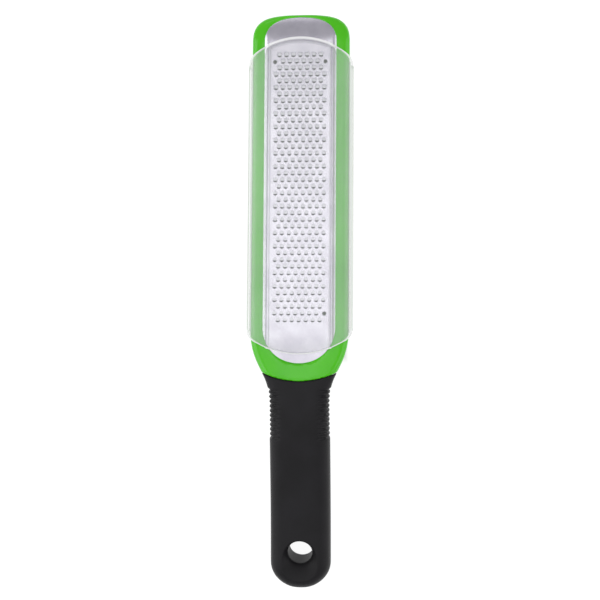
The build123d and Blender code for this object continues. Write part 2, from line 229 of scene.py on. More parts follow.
def remesh(piece, voxel, rounds):  # evens the mesh out and softens every edge a little
    applyModifier(piece, "REMESH", mode="VOXEL", voxel_size=voxel * mm, adaptivity=0)
    applyModifier(piece, "SMOOTH", factor=0.5, iterations=rounds)
    pick(piece)
    bpy.ops.object.shade_smooth()


def roundedBlock(name, size, centre, corner):  # a block with rounded upright edges
    bpy.ops.object.select_all(action="DESELECT")
    bpy.ops.mesh.primitive_cube_add(size=1, location=(0, 0, 0))
    block = bpy.context.object
    block.name = name
    for point in block.data.vertices:
        point.co = Vector([(c * s + m) * mm for c, s, m in zip(point.co, size, centre)])
    bpy.ops.object.mode_set(mode="EDIT")
    bpy.ops.mesh.select_all(action="DESELECT")
    bpy.ops.object.mode_set(mode="OBJECT")
    for edge in block.data.edges:
        low, high = (block.data.vertices[i].co for i in edge.vertices)
        edge.select = abs(low.x - high.x) < mm * 0.01 and abs(low.y - high.y) < mm * 0.01
    bpy.ops.object.mode_set(mode="EDIT")
    bpy.ops.mesh.select_mode(type="EDGE")
    bpy.ops.mesh.bevel(offset=corner * mm, segments=8, affect="EDGES")
    bpy.ops.mesh.select_mode(type="VERT")
    bpy.ops.object.mode_set(mode="OBJECT")
    return block


def formTube(name, places, shape=None):  # the outer form between the first and the last place
    count = form["aroundCount"]

    def place(column, row):
        y = places[row]
        sizes = formSizes(y)
        x, z = ovalPoint(column / count, *sizes)
        return shape(x, y, z, *sizes) if shape else (x, y, z)

    tube = addGrid(name, count, len(places) - 1, place)
    sew(tube)
    return tube


# The blade's own frame: X across, Y along with zero at the tip, Z square to the plate
bladeFrame = Matrix(
    (
        (1, 0, 0, 0),
        (0, math.cos(tilt), math.sin(tilt), tipY * mm),
        (0, -math.sin(tilt), math.cos(tilt), form["tipHeight"] * mm),
        (0, 0, 0, 1),
    )
)


def finishPiece(name, piece, body, node, material):
    piece.name = name
    piece.data.name = name
    piece.data.materials.clear()
    piece.data.materials.append(material)
    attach(piece, body)
    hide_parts(node)
    print(name, "done:", len(piece.data.polygons), "faces")


def linear(hexColour):  # a colour as it looks on a screen, as the numbers that shaders use
    values = [int(hexColour[i : i + 2], 16) / 255 for i in (0, 2, 4)]
    return [v / 12.92 if v <= 0.04045 else ((v + 0.055) / 1.055) ** 2.4 for v in values] + [1]


# Materials

def newMaterial(name):
    material = bpy.data.materials.new(name)
    material.use_nodes = True
    nodes, links = material.node_tree.nodes, material.node_tree.links
    shader = nodes["Principled BSDF"]
    place = nodes.new("ShaderNodeTexCoord")
    return material, nodes, links, shader, place


def addNoise(nodes, links, place, scale, detail=3.0, stretch=(1, 1, 1)):
    mapping = nodes.new("ShaderNodeMapping")
    mapping.inputs["Scale"].default_value = stretch
    noise = nodes.new("ShaderNodeTexNoise")
    noise.inputs["Scale"].default_value = scale
    noise.inputs["Detail"].default_value = detail
    links.new(place.outputs["Object"], mapping.inputs["Vector"])
    links.new(mapping.outputs["Vector"], noise.inputs["Vector"])
    return noise.outputs["Fac"]


def addRange(nodes, links, value, low, high):
    ranges = nodes.new("ShaderNodeMapRange")
    ranges.inputs["To Min"].default_value = low
    ranges.inputs["To Max"].default_value = high
    links.new(value, ranges.inputs["Value"])
    return ranges.outputs["Result"]


def addTint(nodes, links, value, low, high):  # soft patches of two colours
    ramp = nodes.new("ShaderNodeValToRGB")
    ramp.color_ramp.elements[0].color = linear(low)
    ramp.color_ramp.elements[1].color = linear(high)
    ramp.color_ramp.elements[0].position = 0.35
    ramp.color_ramp.elements[1].position = 0.65
    links.new(value, ramp.inputs["Fac"])
    return ramp.outputs["Color"]


def addBump(nodes, links, height, shader, strength, distance):
    bump = nodes.new("ShaderNodeBump")
    bump.inputs["Strength"].default_value = strength
    bump.inputs["Distance"].default_value = distance * mm
    links.new(height, bump.inputs["Height"])
    links.new(bump.outputs["Normal"], shader.inputs["Normal"])


def addRoughness(nodes, links, value, shader, look):
    rough = addRange(nodes, links, value, look["roughLow"], look["roughHigh"])
    links.new(rough, shader.inputs["Roughness"])


greenPlasticLook = {
    "low": "48be05",
    "high": "50c60d",
    "patchScale": 40.0,
    "roughLow": 0.13,
    "roughHigh": 0.18,
    "moltScale": 260.0,
    "bumpStrength": 0.03,
    "bumpHeight": 0.06,
    "subsurface": 0.04,
    "subsurfaceDepth": 1.5,
    "subsurfaceRadius": (0.4, 1.0, 0.2),
}


def greenPlastic():
    look = greenPlasticLook
    material, nodes, links, shader, place = newMaterial("greenPlastic")
    patches = addNoise(nodes, links, place, look["patchScale"])
    grain = addNoise(nodes, links, place, look["moltScale"], 2.0)
    links.new(addTint(nodes, links, patches, look["low"], look["high"]), shader.inputs["Base Color"])
    addRoughness(nodes, links, grain, shader, look)
    addBump(nodes, links, grain, shader, look["bumpStrength"], look["bumpHeight"])
    shader.inputs["Subsurface Weight"].default_value = look["subsurface"]
    shader.inputs["Subsurface Radius"].default_value = look["subsurfaceRadius"]
    shader.inputs["Subsurface Scale"].default_value = look["subsurfaceDepth"] * mm
    return material


softGripLook = {
    "low": "131214",
    "high": "19181b",
    "patchScale": 60.0,
    "grainScale": 2600.0,
    "roughLow": 0.44,
    "roughHigh": 0.56,
    "bumpStrength": 0.16,
    "bumpHeight": 0.05,
    "specular": 0.22,
    "sheen": 0.03,
    "sheenRoughness": 0.45,
}


def softRubber(name, look):
    material, nodes, links, shader, place = newMaterial(name)
    patches = addNoise(nodes, links, place, look["patchScale"])
    grain = addNoise(nodes, links, place, look["grainScale"], 2.0)
    links.new(addTint(nodes, links, patches, look["low"], look["high"]), shader.inputs["Base Color"])
    addRoughness(nodes, links, grain, shader, look)
    addBump(nodes, links, grain, shader, look["bumpStrength"], look["bumpHeight"])
    shader.inputs["Specular IOR Level"].default_value = look["specular"]
    shader.inputs["Sheen Weight"].default_value = look["sheen"]
    shader.inputs["Sheen Roughness"].default_value = look["sheenRoughness"]
    return material


etchedSteelLook = {
    "low": "d3d0da",
    "high": "e0dde6",
    "patchScale": 90.0,
    "grainScale": 900.0,
    "grainStretch": (1.0, 0.12, 1.0),
    "roughLow": 0.19,
    "roughHigh": 0.25,
    "bumpStrength": 0.06,
    "bumpHeight": 0.02,
    "mouthShadeColour": "3c3b42",
    "hoodHighlightColour": "f6f5fa",
    "hoodRoughness": 0.46,
}


def addMix(nodes, links, share, low, high):  # low is an output, and high a fixed colour or number
    blend = nodes.new("ShaderNodeMix")
    colour = not isinstance(high, float)
    blend.data_type = "RGBA" if colour else "FLOAT"
    links.new(share, blend.inputs[0])
    links.new(low, blend.inputs[6 if colour else 2])
    blend.inputs[7 if colour else 3].default_value = high
    return blend.outputs[2 if colour else 0]


def addMark(nodes, name):  # a value that the mesh carries at each corner
    attribute = nodes.new("ShaderNodeAttribute")
    attribute.attribute_name = name
    return attribute.outputs["Fac"]


def etchedSteel():
    look = etchedSteelLook
    material, nodes, links, shader, place = newMaterial("etchedSteel")
    patches = addNoise(nodes, links, place, look["patchScale"])
    grain = addNoise(nodes, links, place, look["grainScale"], 3.0, look["grainStretch"])
    tint = addTint(nodes, links, patches, look["low"], look["high"])
    # painted highlight: the hoods get a lighter colour, and a rougher finish
    hoodHighlightAndRoughness = addMark(nodes, "hoodHighlightAndRoughness")
    tint = addMix(nodes, links, hoodHighlightAndRoughness, tint, linear(look["hoodHighlightColour"]))
    # painted shade: a dark colour inside the tooth openings and locating holes
    tint = addMix(nodes, links, addMark(nodes, "mouthShade"), tint, linear(look["mouthShadeColour"]))
    links.new(tint, shader.inputs["Base Color"])
    rough = addRange(nodes, links, grain, look["roughLow"], look["roughHigh"])
    links.new(addMix(nodes, links, hoodHighlightAndRoughness, rough, look["hoodRoughness"]), shader.inputs["Roughness"])
    addBump(nodes, links, grain, shader, look["bumpStrength"], look["bumpHeight"])
    shader.inputs["Metallic"].default_value = 1.0
    return material


frostedPlasticLook = {
    "low": "eef1ef",
    "high": "f8faf9",
    "patchScale": 30.0,
    "frostScale": 1500.0,
    "roughLow": 0.28,
    "roughHigh": 0.38,
    "bumpStrength": 0.08,
    "bumpHeight": 0.03,
    "veilLow": 0.11,  # how much of what is under it one face hides, seen square on
    "veilHigh": 0.14,
    "edgeVeil": 0.70,  # and seen edge on
    "edgeBlend": 0.25,
    "skirt": ("aab9a6", 0.42),  # colour and veil of the painted shade on the side walls and the panel's step, and of the painted highlight along the cut ends
    "step": ("9c98a8", 0.45),
    "rimHighlight": ("ffffff", 0.70),
}
coverPaintedMarks = ("skirt", "step", "rimHighlight")


def frostedPlastic():
    look = frostedPlasticLook
    material, nodes, links, shader, place = newMaterial("frostedPlastic")
    patches = addNoise(nodes, links, place, look["patchScale"])
    frost = addNoise(nodes, links, place, look["frostScale"], 2.0)
    addRoughness(nodes, links, frost, shader, look)
    addBump(nodes, links, frost, shader, look["bumpStrength"], look["bumpHeight"])
    tint = addTint(nodes, links, patches, look["low"], look["high"])
    veil = addRange(nodes, links, patches, look["veilLow"], look["veilHigh"])
    grazing = nodes.new("ShaderNodeLayerWeight")
    grazing.inputs["Blend"].default_value = look["edgeBlend"]
    veil = addMix(nodes, links, grazing.outputs["Facing"], veil, look["edgeVeil"])
    # painted shade on the side walls, the panel's step and a line behind the tip's band; painted highlight
    # along the cut ends
    for part in coverPaintedMarks:
        mark = addMark(nodes, part)
        colour, partVeil = look[part]
        tint = addMix(nodes, links, mark, tint, linear(colour))
        veil = addMix(nodes, links, mark, veil, partVeil)
    links.new(tint, shader.inputs["Base Color"])
    links.new(veil, shader.inputs["Alpha"])
    material.surface_render_method = "DITHERED"
    return material


footRubberLook = dict(softGripLook, low="2b2b2d", high="343436", bumpStrength=0.2)

greenFinish = greenPlastic()
gripFinish = softRubber("softGripRubber", softGripLook)
footFinish = softRubber("footRubber", footRubberLook)
steelFinish = etchedSteel()
coverFinish = frostedPlastic()
print("materials done")

# Rasp plate: a crowned sheet with 304 etched teeth
plate = {
    "half": 19.65,
    "thickness": 0.4,
    "start": 1.5,  # from the tip of the frame
    "length": 188.0,
    "flatHalf": 15.0,
    "sideRoll": 8.0,
    "tipRoll": 42.0,
    "neckRoll": 110.0,
    "flatStart": 16.0,
    "flatEnd": 173.0,
    "tipCorner": 14.5,
    "neckCorner": 20.7,
    "tipShare": 0.64,
    "neckShare": 0.58,
    "edgeRound": 0.28,
    "gap": 0.12,  # to the seat under it
    "lipGap": 0.15,  # round its edge
    "marginColumns": 9,
    "tipRows": 24,
    "neckRows": 26,
}
teeth = {
    "rows": 41,
    "rowPitch": 3.58,
    "pitch": 3.72,
    "firstRow": 23.1,
    "inWideRow": 8,
    "half": 1.1,
    "length": 1.6,
    "height": 0.55,  # of the cutting edge over the plate, as far as the cover has to clear it
    "hoodShare": 0.42,
    "opening": 1.0,
    "rampDepth": 0.8,  # the opening runs down and in under the hood
    "edgeBow": 0.30,  # how far the cutting edge bows towards the grip
    "mouthShadeBelow": -0.04,  # corners this far under the face get painted shade, a dark colour in the openings
    "hoodFade": 0.06,  # the height over which a hood's painted highlight and rougher finish fade in
    "holeRadius": 1.05,
    "holeSpread": 13.6,
    "around": 16,  # corners of one tile's rings
    "tileSteps": 4,  # faces along each side of a tile
}
fieldHalf = teeth["inWideRow"] * teeth["pitch"] / 2
fieldStart = -teeth["firstRow"] + teeth["rowPitch"] / 2
fieldEnd = fieldStart - teeth["rows"] * teeth["rowPitch"]


def endReach(x, half, corner, share):  # how far a rounded end has fallen back at x
    x = min(abs(x), half)
    low, high = 0.0, 1.0
    for _ in range(40):
        t = (low + high) / 2
        u = 1 - t
        if half * (u**3 + 3 * u * u * t + share * 3 * u * t * t) > x:
            low = t
        else:
            high = t
    return corner * (u**3 + 3 * u * u * t * (1 - share))


def crown(x, y, sink=0.0):  # height of the plate's face over the widest line
    over = abs(x) - plate["flatHalf"]
    roll = plate["sideRoll"] - sink
    across = roll - math.sqrt(max(0.0, roll**2 - over**2)) if over > 0 else 0.0
    along = 0.0
    if y > -plate["flatStart"]:
        roll = plate["tipRoll"] - sink
        along = roll - math.sqrt(roll**2 - (y + plate["flatStart"]) ** 2)
    if y < -plate["flatEnd"]:
        roll = plate["neckRoll"] - sink
        along = roll - math.sqrt(roll**2 - (y + plate["flatEnd"]) ** 2)
    return form["bladeCrown"] - sink - math.hypot(across, along)


def plateSheet(name, margin, sink):  # the plate's face as a grid that follows its outline
    half = plate["half"] + margin
    side = plate["marginColumns"]
    middle = teeth["inWideRow"] * teeth["tileSteps"]
    field = teeth["rows"] * teeth["tileSteps"]
    top = margin - plate["start"]
    base = -plate["start"] - plate["length"] - margin

    def placeColumn(column):
        inner = column - side
        if 0 <= inner <= middle:
            return mix(-fieldHalf, fieldHalf, inner / middle)
        past = -inner if inner < 0 else inner - middle
        x = mix(fieldHalf, half, math.sin(math.pi / 2 * past / side))
        return -x if inner < 0 else x

    def place(column, row):
        x = placeColumn(column)
        if row < plate["neckRows"]:
            end = base + endReach(x, half, plate["neckCorner"], plate["neckShare"])
            y = mix(end, fieldEnd, row / plate["neckRows"])
        elif row <= plate["neckRows"] + field:
            y = mix(fieldEnd, fieldStart, (row - plate["neckRows"]) / field)
        else:
            end = top - endReach(x, half, plate["tipCorner"], plate["tipShare"])
            y = mix(fieldStart, end, (row - plate["neckRows"] - field) / plate["tipRows"])
        return x, y, crown(x, y, sink)

    rows = plate["neckRows"] + field + plate["tipRows"]
    return addGrid(name, middle + 2 * side, rows, place)


def tileEdge(corner):  # the corners round a tile's rectangle, from its right-hand middle
    half = teeth["tileSteps"] // 2
    stepX, stepY = teeth["pitch"] / teeth["tileSteps"], teeth["rowPitch"] / teeth["tileSteps"]
    around = teeth["around"]
    turn = (corner + half) % around
    side, along = divmod(turn, teeth["tileSteps"])
    reach = along - half
    return [
        (half * stepX, reach * stepY),
        (-reach * stepX, half * stepY),
        (-half * stepX, -reach * stepY),
        (reach * stepX, -half * stepY),
    ][side]


def toothRings(corner):  # from the rim of the opening out to the foot of the hood
    angle = 2 * math.pi * corner / teeth["around"]
    x, rise = teeth["half"] * math.cos(angle), math.sin(angle)
    if corner in (0, teeth["around"] // 2):
        return [(x, 0, 0.02), (x * 1.03, 0, 0.01), (x * 1.08, 0, 0), (x * 1.16, 0, 0)]
    if rise > 0:
        length, height = teeth["length"] * rise, teeth["hoodShare"] * teeth["height"] * rise**1.5
        bow = -teeth["edgeBow"] * rise
        return [
            (x, bow, height),
            (x, mix(bow, length, 0.36), 0.86 * height),
            (x * 1.01, mix(bow, length, 0.70), 0.40 * height),
            (x * 1.04, length * 1.04, 0),
        ]
    y, deep = teeth["opening"] * rise, -teeth["rampDepth"] * (-rise) ** 0.6
    return [
        (x * 0.96, 0.18 * y, deep),
        (x, y * 0.98, -0.05),
        (x * 1.05, y * 1.10, 0),
        (x * 1.16, y * 1.32, 0),
    ]


def holeRings(side):  # the same rings for a round locating hole
    shift = side * (teeth["holeSpread"] - fieldHalf + teeth["pitch"] / 2)

    def rings(corner):
        angle = 2 * math.pi * corner / teeth["around"]
        out = (math.cos(angle), math.sin(angle))
        sizes = [(1.0, -0.10), (1.05, -0.02), (1.12, 0), (1.2, 0)]
        radius = teeth["holeRadius"]
        return [(shift + radius * s * out[0], radius * s * out[1], z) for s, z in sizes]

    return rings


def makeTile(name, rings):  # one tile of the field: rings drawn out from the opening to its rectangle
    around = teeth["around"]
    bpy.ops.object.select_all(action="DESELECT")
    bpy.ops.mesh.primitive_circle_add(vertices=around, radius=mm, fill_type="NOTHING")
    tile = bpy.context.object
    tile.name = name
    bpy.ops.object.mode_set(mode="EDIT")
    bpy.ops.mesh.select_all(action="SELECT")
    ringCount = len(rings(1)) + 1
    for ring in range(ringCount - 1):
        bpy.ops.mesh.extrude_edges_move()
        bpy.ops.transform.resize(value=((ring + 2) / (ring + 1),) * 3)
    bpy.ops.object.mode_set(mode="OBJECT")
    for corner in tile.data.vertices:
        ring = round(corner.co.to_2d().length / mm) - 1
        number = round(math.atan2(corner.co.y, corner.co.x) / (2 * math.pi) * around) % around
        spot = (*tileEdge(number), 0) if ring == ringCount - 1 else rings(number)[ring]
        corner.co = Vector(spot) * mm
    # marks the corners deep in the openings for painted shade
    mouthShade = tile.data.attributes.new("mouthShade", "FLOAT", "POINT")
    # marks the raised hoods for a painted highlight and a rougher finish
    hoodHighlightAndRoughness = tile.data.attributes.new("hoodHighlightAndRoughness", "FLOAT", "POINT")
    for corner in tile.data.vertices:
        mouthShade.data[corner.index].value = 1.0 if corner.co.z < teeth["mouthShadeBelow"] * mm else 0.0
        hoodHighlightAndRoughness.data[corner.index].value = clamp(corner.co.z / (teeth["hoodFade"] * mm))
    return tile


def makeRaspPlate():
    sheet = plateSheet("raspPlate", 0, 0)
    level = form["bladeCrown"]
    kinds = {
        "tooth": makeTile("toothTile", toothRings),
        "leftHole": makeTile("leftHoleTile", holeRings(-1)),
        "rightHole": makeTile("rightHoleTile", holeRings(1)),
    }
    spots = []
    for row in range(teeth["rows"]):
        wide = row % 2 == 1
        count = teeth["inWideRow"] if wide else teeth["inWideRow"] - 1
        y = -teeth["firstRow"] - row * teeth["rowPitch"]
        for number in range(count):
            x = (number - (count - 1) / 2) * teeth["pitch"]
            kind = "tooth"
            if row == 1 and number == 0:
                kind = "leftHole"
            if row in (1, teeth["rows"] - 2) and number == count - 1:
                kind = "rightHole"
            spots.append((kind, x, y))
    taken = {(round(x, 2), round(y, 2)) for _, x, y in spots}
    for mark in ("mouthShade", "hoodHighlightAndRoughness"):
        sheet.data.attributes.new(mark, "FLOAT", "POINT")
    pick(sheet)
    bpy.ops.object.mode_set(mode="EDIT")
    bpy.ops.mesh.select_all(action="DESELECT")
    bpy.ops.object.mode_set(mode="OBJECT")
    for face in sheet.data.polygons:
        x, y = face.center.x / mm, face.center.y / mm
        row = round((-teeth["firstRow"] - y) / teeth["rowPitch"])
        if abs(x) > fieldHalf or not fieldEnd < y < fieldStart:
            continue
        shift = 0.5 if row % 2 == 1 else 0.0
        tileX = (round(x / teeth["pitch"] - shift) + shift) * teeth["pitch"]
        spot = (round(tileX, 2), round(-teeth["firstRow"] - row * teeth["rowPitch"], 2))
        face.select = spot in taken
    bpy.ops.object.mode_set(mode="EDIT")
    bpy.ops.mesh.select_mode(type="FACE")
    bpy.ops.mesh.delete(type="FACE")
    bpy.ops.mesh.select_mode(type="VERT")
    bpy.ops.object.mode_set(mode="OBJECT")
    copies = []
    for kind, x, y in spots:
        copy = kinds[kind].copy()
        copy.data = kinds[kind].data.copy()
        copy.data.transform(Matrix.Translation(Vector((x, y, level)) * mm))
        bpy.context.collection.objects.link(copy)
        copies.append(copy)
    bpy.ops.object.select_all(action="DESELECT")
    for copy in copies:
        copy.select_set(True)
    sheet.select_set(True)
    bpy.context.view_layer.objects.active = sheet
    bpy.ops.object.join()
    for tile in kinds.values():
        bpy.data.objects.remove(tile)
    sew(sheet, fill=False, gap=0.02)
    pick(sheet)
    bpy.ops.object.mode_set(mode="EDIT")
    bpy.ops.mesh.select_all(action="SELECT")
    bpy.ops.mesh.normals_make_consistent(inside=False)
    bpy.ops.object.mode_set(mode="OBJECT")
    if sum(face.normal.z * face.area for face in sheet.data.polygons) < 0:
        sheet.data.flip_normals()
    applyModifier(sheet, "SOLIDIFY", thickness=plate["thickness"] * mm, offset=-1)
    pick(sheet)
    bpy.ops.object.mode_set(mode="EDIT")
    bpy.ops.mesh.select_mode(type="EDGE")
    bpy.ops.mesh.select_all(action="DESELECT")
    bpy.ops.mesh.edges_select_sharp(sharpness=math.radians(60))
    bpy.ops.object.mode_set(mode="OBJECT")
    for edge in sheet.data.edges:  # keeps the upper edge of the outline alone
        near, far = (sheet.data.vertices[i].co for i in edge.vertices)
        x, y, z = (near + far) / 2 / mm
        outside = abs(x) > fieldHalf + 0.5 or not fieldEnd - 0.5 < y < fieldStart + 0.5
        edge.select = edge.select and outside and z > crown(x, y) - plate["thickness"] / 3
    bpy.ops.object.mode_set(mode="EDIT")
    bpy.ops.mesh.bevel(offset=plate["edgeRound"] * mm, segments=3, affect="EDGES")
    bpy.ops.mesh.select_mode(type="VERT")
    bpy.ops.object.mode_set(mode="OBJECT")
    sheet.data.transform(bladeFrame)
    pick(sheet)
    bpy.ops.object.shade_smooth_by_angle(angle=math.radians(50))
    finishPiece("raspPlate", sheet, "tool", "rasp_plate", steelFinish)


# Frame: the green body that holds the plate, open underneath
frameShape = {
    "seatWidth": 2.2,
    "ledgeBase": 0.8,  # over the widest line
    "skirt": 5.0,
    "windowStart": 15.0,
    "windowEnd": 180.0,
    "windowCorner": 5.0,
    "seamDistance": 197.8,
    "seamRadius": 48.0,
    "seamSides": 192,
    "seamGap": 0.15,
    "neckReach": 40.0,  # how far the frame's form runs past the neck before the seam cuts it
    "tangWidth": 18.0,
    "tangThickness": 7.0,
    "tangStart": 191.5,  # from the tip
    "tangEnd": 273.0,
    "footWidth": 30.0,
    "footLength": 8.4,
    "footFromTip": 4.6,
    "footThickness": 3.2,
    "footCorner": 3.0,
    "footGap": 0.1,
    "footBevel": 0.5,
    "voxel": 0.7,
    "smoothRounds": 6,
}


def aheadOfSeam(gap):  # a tall cylinder whose front half is drawn out past the tip
    radius = frameShape["seamRadius"] + gap
    middle = tipY - frameShape["seamDistance"] + frameShape["seamRadius"]
    bpy.ops.object.select_all(action="DESELECT")
    bpy.ops.mesh.primitive_cylinder_add(
        vertices=frameShape["seamSides"], radius=radius * mm, depth=0.2, location=(0, middle * mm, 0)
    )
    bpy.ops.object.transform_apply(location=True)
    ahead = bpy.context.object
    for corner in ahead.data.vertices:
        if corner.co.y > (middle + 0.1) * mm:
            corner.co.y += form["length"] * mm
    return ahead


def tangBar():
    bpy.ops.object.select_all(action="DESELECT")
    bpy.ops.mesh.primitive_cube_add(size=2)
    tang = bpy.context.object
    for corner in tang.data.vertices:
        y = tipY - frameShape["tangStart" if corner.co.y > 0 else "tangEnd"]
        z = formSizes(y)[1] + corner.co.z * frameShape["tangThickness"] / 2
        corner.co = Vector((corner.co.x * frameShape["tangWidth"] / 2, y, z)) * mm
    return tang


def footBlock(margin, low, high):
    centreY = tipY - frameShape["footFromTip"] - frameShape["footLength"] / 2
    size = (frameShape["footWidth"] + 2 * margin, frameShape["footLength"] + 2 * margin, high - low)
    corner = frameShape["footCorner"] + margin
    return roundedBlock("footBlock", size, (0, centreY, (low + high) / 2), corner)


def raiseBlock(outline, height):  # draws a sheet upwards into a closed block
    pick(outline)
    bpy.ops.object.mode_set(mode="EDIT")
    bpy.ops.mesh.select_all(action="SELECT")
    bpy.ops.mesh.extrude_region_move(TRANSFORM_OT_translate={"value": (0, 0, height * mm)})
    bpy.ops.mesh.select_all(action="SELECT")
    bpy.ops.mesh.normals_make_consistent(inside=False)
    bpy.ops.object.mode_set(mode="OBJECT")


def makeFrame():
    tipCount = 18
    shares = [math.sin(math.pi / 2 * i / tipCount) for i in range(tipCount, -1, -1)]
    places = [tipY - form["tipRun"] * (1 - share) for share in shares]
    places += spread(tipStartY, neckY, form["placeSize"])[1:]
    places += spread(neckY, neckY - frameShape["neckReach"], form["neckPlaceSize"])[1:]
    body = formTube("greenFrame", places)
    cut(body, aheadOfSeam(0), "INTERSECT")
    recess = plateSheet("recess", plate["lipGap"], plate["thickness"] + plate["gap"])
    raiseBlock(recess, 15)
    start, end = frameShape["windowStart"], frameShape["windowEnd"]
    windowSize = (2 * plate["half"] - 2 * frameShape["seatWidth"], end - start)
    window = roundedBlock(
        "window", (*windowSize, 40), (0, -(start + end) / 2, 0), frameShape["windowCorner"]
    )
    outline = plateSheet("windowOutline", -frameShape["seatWidth"], 0)
    for corner in outline.data.vertices:
        corner.co.z = -20 * mm
    raiseBlock(outline, 40)
    cut(window, outline, "INTERSECT")
    pocketHeight = 20 + frameShape["ledgeBase"]
    pocketSize = (2 * form["frameHalf"] - 2 * frameShape["skirt"], end - start, pocketHeight)
    pocketCentre = (0, -(start + end) / 2, frameShape["ledgeBase"] - pocketHeight / 2)
    pocket = roundedBlock("pocket", pocketSize, pocketCentre, frameShape["windowCorner"])
    for cutter in (recess, window, pocket):
        cutter.data.transform(bladeFrame)
        cut(body, cutter)
    cut(body, footBlock(frameShape["footGap"], -5, frameShape["footThickness"]))
    cut(body, tangBar(), "UNION")
    remesh(body, frameShape["voxel"], frameShape["smoothRounds"])
    finishPiece("greenFrame", body, "tool", "frame", greenFinish)


def makeTipFoot():
    foot = footBlock(0, 0, frameShape["footThickness"])
    bevel = frameShape["footBevel"] * mm
    applyModifier(foot, "BEVEL", width=bevel, segments=4, limit_method="ANGLE", angle_limit=math.radians(50))
    pick(foot)
    bpy.ops.object.shade_smooth_by_angle(angle=math.radians(40))
    finishPiece("tipFoot", foot, "tool", "tip_foot", footFinish)


# Grip: soft black handle with fins on both flanks and a dished hanging hole
grip = {
    "finCount": 10,
    "finPitch": 2.5,
    "finFirst": 203.7,
    "finSlope": 8.5,  # degrees
    "grooveDepth": 1.8,
    "grooveInner": 0.55,  # share of the half width where the grooves fade in
    "grooveOuter": 0.90,
    "boreRadius": 6.5,
    "slant": 11.4,  # degrees
    "fromEnd": 21.0,
    "height": 10.1,
    "flareStart": 5.4,  # from the middle of the bore
    "flareEnd": 10.1,
    "flareWidening": 3.4,
    "flareLean": 1.95,
    "placeSize": 0.8,  # between the sections: at the neck, along the fins and behind them
    "finPlaceSize": 0.2,
    "gripPlaceSize": 1.2,
    "endPlaces": 22,
    "voxel": 0.45,
    "smoothRounds": 2,
}


def finned(x, y, z, half, height, crownHeight, depth):  # sinks the grooves between the fins
    finY = tipY - grip["finFirst"]
    along = (finY - y - (z - height) * math.tan(math.radians(grip["finSlope"]))) / grip["finPitch"]
    notch = clamp(round(along + 0.5), 0, grip["finCount"]) - 0.5
    near = clamp(1 - 2 * abs(along - notch))
    sink = grip["grooveDepth"] * near**1.5
    sink *= ease(grip["grooveInner"] * half, grip["grooveOuter"] * half, abs(x))
    rise = crownHeight if z > height else depth
    out = Vector((x / half**2, (z - height) / rise**2))
    if out.length > 0:
        out.normalize()
    return x - sink * out.x, y, z - sink * out.y


def hangCutter():
    rings = spread(-16, 16, 0.5)
    count = 72

    def place(column, row):
        z = rings[row]
        side = 1 if z > 0 else -1
        past = max(0.0, (abs(z) - grip["flareStart"]) / (grip["flareEnd"] - grip["flareStart"]))
        radius = grip["boreRadius"] + grip["flareWidening"] * past**1.8
        angle = 2 * math.pi * column / count
        shift = side * grip["flareLean"] * past**1.4
        return radius * math.cos(angle), radius * math.sin(angle) - shift, z

    cutter = addGrid("hangCutter", count, len(rings) - 1, place)
    sew(cutter)
    slant = math.radians(grip["slant"])
    place3d = Matrix(
        (
            (1, 0, 0, 0),
            (0, math.cos(slant), -math.sin(slant), (grip["fromEnd"] - tipY) * mm),
            (0, math.sin(slant), math.cos(slant), grip["height"] * mm),
            (0, 0, 0, 1),
        )
    )
    cutter.data.transform(place3d)
    return cutter


def makeGrip():
    finTop, finBase = tipY - grip["finFirst"] + 4, tipY - grip["finFirst"] - 27
    places = spread(neckY - 12, finTop, grip["placeSize"])
    places += spread(finTop, finBase, grip["finPlaceSize"])[1:]
    places += spread(finBase, capY, grip["gripPlaceSize"])[1:]
    endCount = grip["endPlaces"]
    shares = [math.sin(math.pi / 2 * i / endCount) for i in range(1, endCount + 1)]
    places += [capY - form["gripEndRun"] * share for share in shares]
    body = formTube("softGrip", places, finned)
    cut(body, aheadOfSeam(frameShape["seamGap"]))
    cut(body, tangBar())
    cut(body, hangCutter())
    remesh(body, grip["voxel"], grip["smoothRounds"])
    finishPiece("softGrip", body, "tool", "grip", gripFinish)


# Storage cover: a frosted shell that drops over the blade, with a raised panel over the teeth
cover = {
    "wall": 1.3,
    "gap": 0.65,
    "start": 13.6,
    "length": 171.0,
    "tipRadius": 42.0,
    "neckRadius": 48.0,
    "corner": 7.0,
    "panelHalf": 16.0,
    "clearance": 1.0,
    "step": 1.15,
    "draft": 0.4,
    "shoulderRadius": 6.3,
    "shoulderFall": 0.15,
    "skirt": 4.6,
    "endRows": (0, 0.4, 0.8, 1.1, 1.4, 1.7, 2.0, 2.3, 2.7, 3.4, 4.6, 6.4),  # from each end
    "rowSize": 2.4,
    "bevel": 0.30,
    "tipRim": 0.60,  # widths of the painted highlight bands along the cut ends
    "panelRim": 1.35,
    "neckRim": 0.50,
    "tipShadeLine": 1.85,  # the painted shade line behind the panel's band
    "shadeLineHalf": 0.25,
    "shadeLineMark": 0.7,
    "rimFade": 0.1,
    "stepShadeFade": (0.25, 0.70),  # how far a face leans sideways where its painted shade begins and is whole
    "skirtShadeFade": (0.75, 0.98),
}


